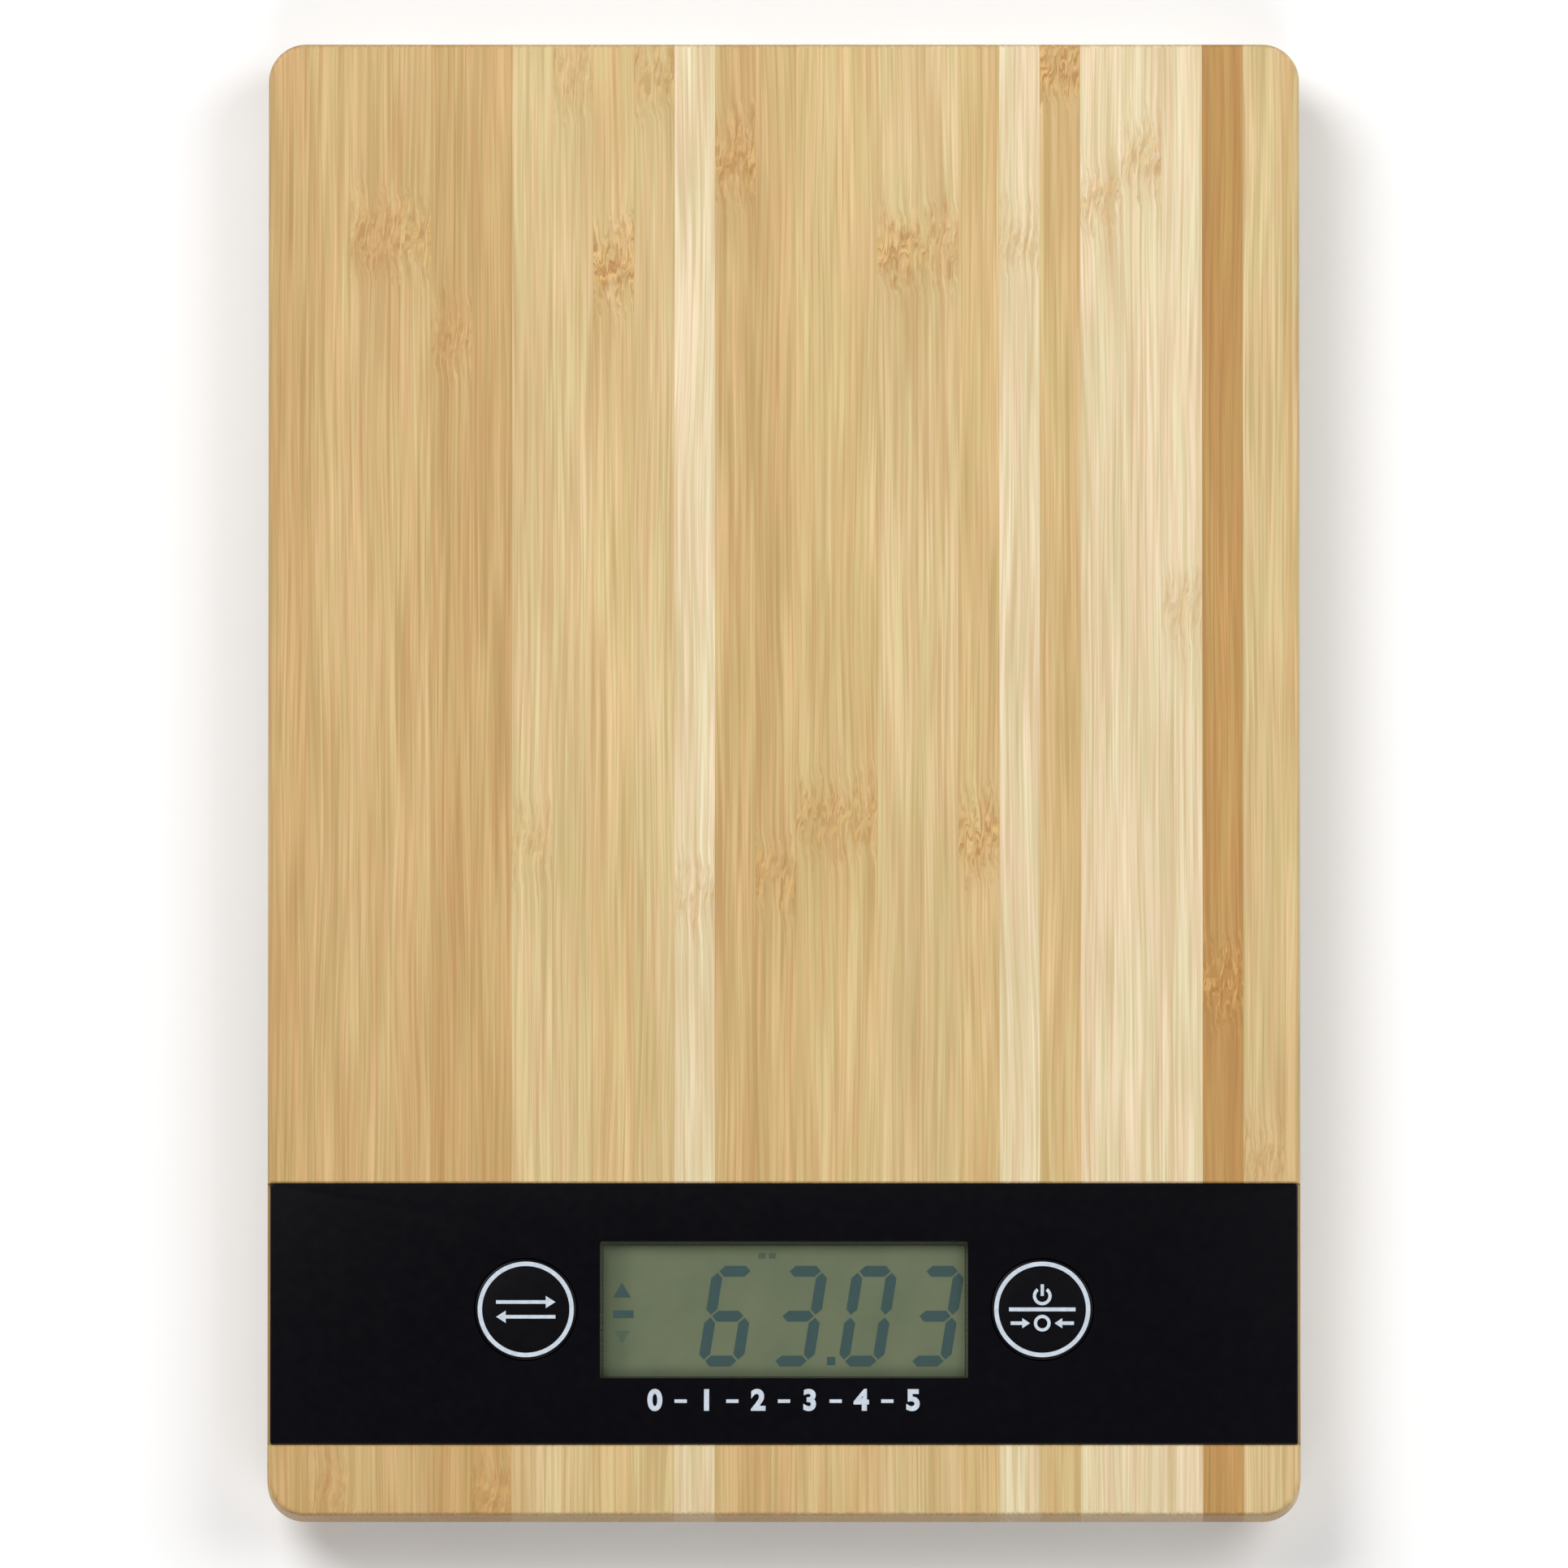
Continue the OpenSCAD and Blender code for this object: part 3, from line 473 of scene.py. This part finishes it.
def clear(name, colour, alpha):
    """Glass or acrylic with a faint haze of fingermarks."""
    s = Shader(name, colour, 0.08, Alpha=alpha, Specular_IOR_Level=0.12)
    s.roughness(s.spread(s.noise(s.place, scale=0.5, detail=3), 0.3, 0.7, 0.05, 0.13))
    return s.material


def display_film():
    """The greenish film of the display, with painted shade that darkens it towards its left and lower
    edges, under the window's rim.
    """
    s = Shader("display_film", linear(113, 123, 94), 0.5, Specular_IOR_Level=0.2)
    low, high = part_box("lcd_polariser")
    x, y = s.split(s.place)[:2]
    # Painted shade: masks for the darkening along the film's left and lower edges, where the window's rim
    # would cast shade
    left = s.spread(x, low.x / MM + 1.5, low.x / MM + 5.5, smooth=True)
    bottom = s.spread(y, low.y / MM, low.y / MM + 2.2, smooth=True)
    cloud = s.spread(s.noise(s.place, scale=0.16, detail=3), 0.3, 0.7)
    body = s.mix(cloud, rgba(linear(111, 122, 93)), rgba(linear(121, 129, 101)))
    # The two darker greens are painted shade along the film's left and lower edges
    body = s.mix(s.spread(left, 0, 1, 0.45, 0.0), body, rgba(linear(66, 78, 56)))
    body = s.mix(s.spread(bottom, 0, 1, 0.4, 0.0), body, rgba(linear(60, 76, 58)))
    s.colour(body)
    return s.material


def ink(name, colour):
    """A printed layer of slightly uneven strength."""
    s = Shader(name, colour, 0.5)
    worn = s.noise(s.place, scale=1.6, detail=4)
    s.colour(s.mix(s.spread(worn, 0.35, 0.65), rgba(colour, 0.88), rgba(colour, 1.05)))
    return s.material


def circuit(name, colour):
    """Solder resist with the copper traces showing through it as paler lines."""
    s = Shader(name, colour, 0.35)
    x, y, z = s.split(s.place)
    stripes = s.noise(s.vector(s.times(x, 0.2), s.times(y, 1.5), z), detail=0)
    traces = s.spread(stripes, 0.5, 0.52)
    s.colour(s.mix(s.times(traces, 0.5), rgba(colour), rgba(colour, 1.8)))
    s.bump(traces, 0.3, 0.03)
    return s.material


BY_CLASS = {
    "matte_plastic": moulded,
    "gloss_plastic": glossy,
    "rubber": rubber,
    "brushed_steel": metal,
    "aluminium": metal,
}
SPECIAL = {
    "bamboo": lambda: Bamboo().material,
    "panel_black": lambda: black_sheet("panel_black", 0.24),
    "key_black": lambda: black_sheet("key_black", 0.28),
    "clear_lens": lambda: clear("clear_lens", linear(66, 72, 60), 0.10),
    "lcd_glass": lambda: clear("lcd_glass", linear(150, 160, 130), 0.35),
    "lcd_film": display_film,
    "fr4": lambda: circuit("fr4", FINISH["fr4"]["base_color"]),
}


def slot_material(slot):
    if slot in SPECIAL:
        return SPECIAL[slot]()
    row = FINISH[slot]
    return BY_CLASS[row["class"]](slot, row["base_color"][:3])


MATERIALS = {slot: slot_material(slot) for slot in FINISH}
INK = ink("ink_white", linear(192, 203, 214))
SEGMENTS = ink("display_segments", linear(43, 80, 80))
SEGMENTS_FAINT = ink("display_segments_faint", linear(76, 98, 78))


# ---------- mesh helpers ----------

def add_object(name, solid, material, sharp=40):
    """A new object from a bmesh in metres, smooth but for edges above the sharp angle."""
    bmesh.ops.recalc_face_normals(solid, faces=solid.faces)
    mesh = bpy.data.meshes.new(name)
    solid.to_mesh(mesh)
    solid.free()
    made = bpy.data.objects.new(name, mesh)
    bpy.context.scene.collection.objects.link(made)
    settle(made, material, sharp)
    return made


def settle(piece, material, sharp):
    """Gives a piece its one material and its smooth shading."""
    piece.data.materials.clear()
    piece.data.materials.append(material)
    piece.data.shade_smooth()
    piece.data.set_sharp_from_angle(angle=math.radians(sharp))


def take_place(piece, node, body):
    """The piece stands for a CAD node: it goes on the node's body, and the node is hidden."""
    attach(piece, body)
    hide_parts(node)


def box_mm(node):
    low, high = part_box(node)
    return low / MM, high / MM


def middle(node):
    """The middle of a node's box as seen from above, in mm."""
    low, high = box_mm(node)
    return (low.x + high.x) / 2, (low.y + high.y) / 2


def rounded_outline(width, depth, radius, centre, z, arc=14):
    """Points of a rounded rectangle, in mm, anticlockwise from its right side."""
    points = []
    radius = max(radius, 0.01)
    for turn in range(4):
        corner = math.pi / 2 * turn
        cx = centre[0] + (width / 2 - radius) * (1 if turn in (0, 3) else -1)
        cy = centre[1] + (depth / 2 - radius) * (1 if turn in (0, 1) else -1)
        for i in range(arc + 1):
            angle = corner + math.pi / 2 * i / arc
            points.append((cx + radius * math.cos(angle), cy + radius * math.sin(angle), z))
    return points


def circle_outline(diameter, centre, z, count=96):
    return [(centre[0] + diameter / 2 * math.cos(2 * math.pi * i / count),
             centre[1] + diameter / 2 * math.sin(2 * math.pi * i / count), z) for i in range(count)]


def loft(rings):
    """A closed solid through rings of points in mm, capped at both ends."""
    made = bmesh.new()
    loops = [[made.verts.new(Vector(p) * MM) for p in ring] for ring in rings]
    for lower, upper in zip(loops, loops[1:]):
        for i in range(len(lower)):
            j = (i + 1) % len(lower)
            made.faces.new((lower[i], lower[j], upper[j], upper[i]))
    made.faces.new(list(reversed(loops[0])))
    made.faces.new(loops[-1])
    return made


def rounding(z_low, z_high, bottom, top, count=6):
    """(inset, z) pairs up a wall whose bottom and top edges are rounded over."""
    levels = []
    for i in range(count + 1 if bottom else 1):
        angle = math.pi / 2 * i / count
        levels.append((bottom * (1 - math.sin(angle)), z_low + bottom * (1 - math.cos(angle))))
    for i in range(count + 1):
        angle = math.pi / 2 * i / count
        levels.append((top * (1 - math.cos(angle)), z_high - top * (1 - math.sin(angle))))
    return levels


def plate(width, depth, radius, centre, z_low, z_high, bottom, top):
    return loft([rounded_outline(width - 2 * inset, depth - 2 * inset, radius - inset, centre, z)
                 for inset, z in rounding(z_low, z_high, bottom, top)])


def block(size, centre, z_low, z_high):
    """An upright block with rounded corners. Its size is a width, a depth and a corner radius."""
    return loft([rounded_outline(*size, centre, z) for z in (z_low, z_high)])


def cut(piece, solids):
    """Takes the solids out of the piece and applies the result."""
    material = piece.data.materials[0]
    cutters = [add_object("cutter", solid, material) for solid in solids]
    for cutter in cutters:
        boolean = piece.modifiers.new("cut", "BOOLEAN")
        boolean.operation = "DIFFERENCE"
        boolean.solver = "EXACT"
        boolean.object = cutter
    graph = bpy.context.evaluated_depsgraph_get()
    mesh = bpy.data.meshes.new_from_object(piece.evaluated_get(graph))
    piece.modifiers.clear()
    piece.data = mesh
    for cutter in cutters:
        bpy.data.objects.remove(cutter)
    settle(piece, material, 35)


def joined(solids):
    """Several bmesh solids as one bmesh."""
    made = bmesh.new()
    for solid in solids:
        mesh = bpy.data.meshes.new("part")
        solid.to_mesh(mesh)
        solid.free()
        made.from_mesh(mesh)
        bpy.data.meshes.remove(mesh)
    return made


# ---------- the board, panel and keys ----------

def channel(low, high):
    """What is cut for the panel: a channel across the board with a small chamfer along both rims."""
    panel_low, panel_high = box_mm("display_panel")
    floor = box_mm("panel_tape")[0].z
    front, back = panel_low.y - CHANNEL_FIT, panel_high.y + CHANNEL_FIT
    rim, top = high.z - CHANNEL_LIP, high.z + CUT_OVER
    wide_front, wide_back = front - CHANNEL_LIP, back + CHANNEL_LIP
    profile = [(front, floor), (back, floor), (back, rim), (wide_back, high.z),
               (wide_back, top), (wide_front, top), (wide_front, high.z), (front, rim)]
    return loft([[(x, y, z) for y, z in profile] for x in (low.x - CUT_OVER, high.x + CUT_OVER)])


def board():
    """The bamboo board with the panel's channel, the bay of the electronics and the coin cell's pocket."""
    low, high = box_mm("bamboo_board")
    size = high - low
    solid = plate(size.x, size.y, BOARD_CORNER_R, (0, 0), low.z, high.z, BOARD_ROUND_BELOW, BOARD_ROUND)
    piece = add_object("bamboo_board_look", solid, MATERIALS["bamboo"])
    bay = block(BAY, middle("display_panel"), low.z - CUT_OVER, high.z + CUT_OVER)
    pocket = block(POCKET, middle("coin_cell"), low.z - CUT_OVER, low.z + POCKET_DEPTH)
    cut(piece, [channel(low, high), bay, pocket])
    take_place(piece, "bamboo_board", "scale_body")


def panel():
    """The black sheet with its window and its two round key holes."""
    low, high = box_mm("display_panel")
    size = high - low
    solid = plate(size.x, size.y, PANEL_CORNER_R, middle("display_panel"), low.z, high.z,
                  PANEL_ROUND_BELOW, PANEL_ROUND)
    piece = add_object("display_panel_look", solid, MATERIALS["panel_black"])
    ends = (low.z - CUT_OVER, high.z + CUT_OVER)
    holes = [block(WINDOW, middle("display_lens"), *ends)]
    for side in SIDES:
        holes.append(loft([circle_outline(KEY_HOLE_D, middle(side + "_keycap"), z) for z in ends]))
    cut(piece, holes)
    take_place(piece, "display_panel", "scale_body")


def keycap(side):
    """A round key with a flange below it and a stub that sits on the switch's plunger."""
    node = side + "_keycap"
    low, high = box_mm(node)
    plunger_low, plunger_high = box_mm(side + "_switch_plunger")
    flange_d = high.x - low.x
    stub_d = plunger_high.x - plunger_low.x + KEY_STUB_RIM
    stub_top = low.z + KEY_STUB_H
    flange_top = stub_top + KEY_FLANGE_H
    levels = [(stub_d, low.z), (stub_d, stub_top), (flange_d, stub_top), (flange_d, flange_top)]
    levels += [(KEY_D - 2 * inset, z) for inset, z in rounding(flange_top, high.z, 0.0, KEY_ROUND)]
    solid = loft([circle_outline(diameter, middle(node), z) for diameter, z in levels])
    take_place(add_object(node + "_look", solid, MATERIALS["key_black"]), node, side + "_button")


# ---------- printed rings and pictograms ----------

def printed(name, outlines, z, material, body, more=()):
    """Printed shapes from outlines of (x, y) points in mm, with any further solids, as one piece."""
    levels = (z, z + INK_H)
    solids = [loft([[(x, y, level) for x, y in outline] for level in levels]) for outline in outlines]
    piece = add_object(name, joined(solids + list(more)), material, sharp=20)
    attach(piece, body)


def bar(x, y, width, height):
    return [(x - width / 2, y - height / 2), (x + width / 2, y - height / 2),
            (x + width / 2, y + height / 2), (x - width / 2, y + height / 2)]


def triangle(x, y, width, height):
    """A triangle on a level base with its middle at (x, y). With a negative height it points down."""
    return [(x - width / 2, y), (x + width / 2, y), (x, y + height)]


def arrow(tip, tail, y, head=1.5, spread=0.95):
    """A level arrow: a line with a pointed head."""
    neck = tip + (head if tip < tail else -head)
    above = [(tail, y + ARROW_LINE / 2), (neck, y + ARROW_LINE / 2), (neck, y + spread)]
    below = [(px, 2 * y - py) for px, py in reversed(above)]
    return above + [(tip, y)] + below


def arc_band(centre, radius, line, start, end, count=40):
    """A curved bar from one angle to another, in degrees."""
    angles = [math.radians(start + (end - start) * i / count) for i in range(count + 1)]

    def edge(r):
        return [(centre[0] + r * math.cos(a), centre[1] + r * math.sin(a)) for a in angles]

    return edge(radius) + edge(radius - line)[::-1]


def ring(at, outer_d, line, z, count=96):
    """A thin printed ring as one closed solid: its four edges, joined in turn."""
    edges = [circle_outline(outer_d - 2 * inset, at, level, count)
             for inset, level in ((0, z), (0, z + INK_H), (line, z + INK_H), (line, z))]
    made = bmesh.new()
    loops = [[made.verts.new(Vector(p) * MM) for p in edge] for edge in edges]
    for first, second in zip(loops, loops[1:] + loops[:1]):
        for i in range(count):
            j = (i + 1) % count
            made.faces.new((first[i], first[j], second[j], second[i]))
    return made


def change_over_sign(x, y):
    """Two arrows that point opposite ways."""
    reach, rise = 4.6, 1.15
    return [arrow(x + reach, x - reach, y + rise), arrow(x - reach, x + reach, y - rise)]


def power_sign(x, y):
    """A short bar in the gap of an open ring."""
    line, bar_h, ring_r = 0.5, 1.8, 1.45
    return [bar(x, y + bar_h / 2, line, bar_h), arc_band((x, y), ring_r, line, 125, 415)]


def inward_arrows(x, y):
    """A short arrow from each side that points at a nought."""
    tip, tail = 1.9, 4.9
    return [arrow(x + way * tip, x + way * tail, y, head=1.2, spread=0.8) for way in (-1, 1)]


def key_print(side):
    """A ring with a change-over sign, or with a power sign above a return-to-nought sign."""
    x, y = middle(side + "_keycap")
    z = box_mm(side + "_keycap")[1].z
    rings = [ring((x, y), RING_OUT_D, RING_LINE, z)]
    if side == "unit":
        shapes = change_over_sign(x, y)
    else:
        low = y - NOUGHT_DROP
        rings.append(ring((x, low), NOUGHT_D, NOUGHT_LINE, z, count=32))
        shapes = [bar(x, y, *KEY_BAR)] + power_sign(x, y + POWER_RISE) + inward_arrows(x, low)
    printed(side + "_key_print", shapes, z, INK, side + "_button", rings)


def numeral_solid(text, x, y, z):
    """A plain numeral as a thin solid, from the built-in font."""
    curve = bpy.data.curves.new("numeral_" + text, "FONT")
    curve.body = text
    curve.align_x = "CENTER"
    curve.align_y = "CENTER"
    curve.size = NUMERAL_H / FONT_NUMERAL_SHARE * MM
    curve.offset = NUMERAL_THICKEN * MM
    curve.extrude = INK_H / 2 * MM
    holder = bpy.data.objects.new("numeral_" + text, curve)
    bpy.context.scene.collection.objects.link(holder)
    holder.location = (x * MM, y * MM, (z + INK_H / 2) * MM)
    bpy.context.view_layer.update()
    mesh = bpy.data.meshes.new_from_object(holder.evaluated_get(bpy.context.evaluated_depsgraph_get()))
    mesh.transform(holder.matrix_world)
    bpy.data.objects.remove(holder)
    made = bmesh.new()
    made.from_mesh(mesh)
    bpy.data.meshes.remove(mesh)
    bmesh.ops.remove_doubles(made, verts=made.verts, dist=0.001 * MM)
    return made


def dial_line():
    """A row of the numerals 0 to 5 with a tick between each two, below the display."""
    z = box_mm("display_panel")[1].z
    y = middle("display_lens")[1] - WINDOW[1] / 2 - DIAL_DROP
    places = [(number - DIAL_LAST / 2) * DIAL_PITCH for number in range(DIAL_LAST + 1)]
    numerals = [numeral_solid(str(number), x, y, z) for number, x in enumerate(places)]
    ticks = [bar(x + DIAL_PITCH / 2, y, *TICK) for x in places[:-1]]
    printed("dial_line", ticks, z, INK, "scale_body", numerals)


# ---------- the display's reading ----------

def digit(number, cx, cy):
    """The lit segments of a slanted seven-segment figure."""
    line = SEGMENT_W / 2
    half_w, half_h = DIGIT_W / 2 - line, DIGIT_H / 2 - line

    def level(y):
        w = half_w - SEGMENT_GAP
        return [(-w, y), (-w + line, y - line), (w - line, y - line),
                (w, y), (w - line, y + line), (-w + line, y + line)]

    def upright(x, low, high):
        low, high = low + SEGMENT_GAP, high - SEGMENT_GAP
        return [(x, low), (x + line, low + line), (x + line, high - line),
                (x, high), (x - line, high - line), (x - line, low + line)]

    shapes = {"a": level(half_h), "g": level(0), "d": level(-half_h),
              "f": upright(-half_w, 0, half_h), "b": upright(half_w, 0, half_h),
              "e": upright(-half_w, -half_h, 0), "c": upright(half_w, -half_h, 0)}
    return [[(cx + x + y * SLANT, cy + y) for x, y in shapes[key]] for key in SEGMENT_SETS[number]]


def reading():
    """The display's figures and point, the lit signs left of them, and its faint marks."""
    low, high = box_mm("lcd_polariser")
    cy = (low.y + high.y) / 2 - DIGIT_DROP

    def sign(shape, x, rise, width, height):
        return shape(x, cy + rise, width, height)

    shapes = []
    for number, cx in zip(READING, DIGIT_X):
        shapes += digit(number, cx, cy)
    shapes.append(bar(POINT_X, cy - DIGIT_H / 2 + SEGMENT_W / 2, POINT_W, POINT_W))
    shapes += [sign(triangle, *LIT_ARROW), sign(bar, *LIT_BAR)]
    printed("display_reading", shapes, high.z, SEGMENTS, "scale_body")
    faint = [bar(x, high.y - DOT_DROP, *DOT) for x in DOT_X]
    faint.append(sign(triangle, *FAINT_ARROW))
    printed("display_marks_faint", faint, high.z, SEGMENTS_FAINT, "scale_body")


# ---------- the carried-over CAD nodes ----------

def break_edges(piece, width):
    """A fine bevel along the sharp edges of a moulded piece."""
    weld = piece.modifiers.new("weld", "WELD")
    weld.merge_threshold = 0.001 * MM
    bevel = piece.modifiers.new("edge_break", "BEVEL")
    bevel.width = width * MM
    bevel.segments = 2
    bevel.limit_method = "ANGLE"
    bevel.angle_limit = math.radians(50)
    bevel.harden_normals = False
    bevel.use_clamp_overlap = True


def dress_nodes():
    """Gives every CAD node its finish, and breaks the edges of the tray, the door and the feet."""
    for node, piece in frame["nodes"].items():
        piece.data.materials.clear()
        piece.data.materials.append(MATERIALS[SLOT_OF[node]])
        width = FOOT_EDGE_BREAK if node.startswith("foot") else EDGE_BREAK.get(node)
        if width:
            break_edges(piece, width)


# ---------- floor, light and camera ----------

def floor():
    made = bmesh.new()
    bmesh.ops.create_grid(made, x_segments=8, y_segments=8, size=FLOOR_HALF)
    s = Shader("floor", (0.93, 0.93, 0.93), 0.9, Specular_IOR_Level=0.1)
    s.colour(s.mix(s.noise(s.place, scale=0.004), rgba((0.92, 0.92, 0.92)), rgba((0.94, 0.94, 0.94))))
    add_object("floor", made, s.material)


def surroundings():
    """A world that is pale at the horizon and dark overhead."""
    world = bpy.data.worlds.new("studio")
    bpy.context.scene.world = world
    world.use_nodes = True
    tree = world.node_tree
    place = tree.nodes.new("ShaderNodeTexCoord")
    parts = tree.nodes.new("ShaderNodeSeparateXYZ")
    ramp = tree.nodes.new("ShaderNodeValToRGB")
    ramp.color_ramp.elements[0].color = (0.80, 0.80, 0.81, 1)
    ramp.color_ramp.elements[1].position = 0.75
    ramp.color_ramp.elements[1].color = (0.02, 0.02, 0.022, 1)
    tree.links.new(place.outputs["Generated"], parts.inputs[0])
    tree.links.new(parts.outputs[2], ramp.inputs[0])
    tree.links.new(ramp.outputs[0], tree.nodes["Background"].inputs[0])
    tree.nodes["Background"].inputs[1].default_value = 0.75


def lights():
    """Three round lights that face the object, set so that the black panel doesn't mirror them."""
    for name, place, power in LIGHTS:
        light = bpy.data.lights.new(name, "AREA")
        light.shape = "DISK"
        light.size = LIGHT_D
        light.energy = power
        lamp = bpy.data.objects.new(name, light)
        bpy.context.scene.collection.objects.link(lamp)
        lamp.location = place
        lamp.rotation_euler = (-Vector(place)).to_track_quat("-Z", "Y").to_euler()


def camera():
    """A long lens above the scale, leaning a little to the front."""
    low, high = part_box("bamboo_board")
    data = bpy.data.cameras.new("camera")
    data.sensor_width = 36
    data.lens = CAMERA_SHARE * data.sensor_width * CAMERA_DISTANCE / (high.x - low.x)
    data.clip_end = 5 * CAMERA_DISTANCE
    made = bpy.data.objects.new("camera", data)
    bpy.context.scene.collection.objects.link(made)
    target = Vector((0, CAMERA_AIM_Y, high.z))
    away = Vector((0, -math.sin(CAMERA_LEAN), math.cos(CAMERA_LEAN)))
    made.location = target + away * CAMERA_DISTANCE
    made.rotation_euler = (CAMERA_LEAN, 0, 0)
    bpy.context.scene.camera = made
    bpy.context.scene.view_settings.view_transform = "Standard"


camera()
floor()
surroundings()
lights()
dress_nodes()
board()
panel()
for side in SIDES:
    keycap(side)
    key_print(side)
dial_line()
reading()
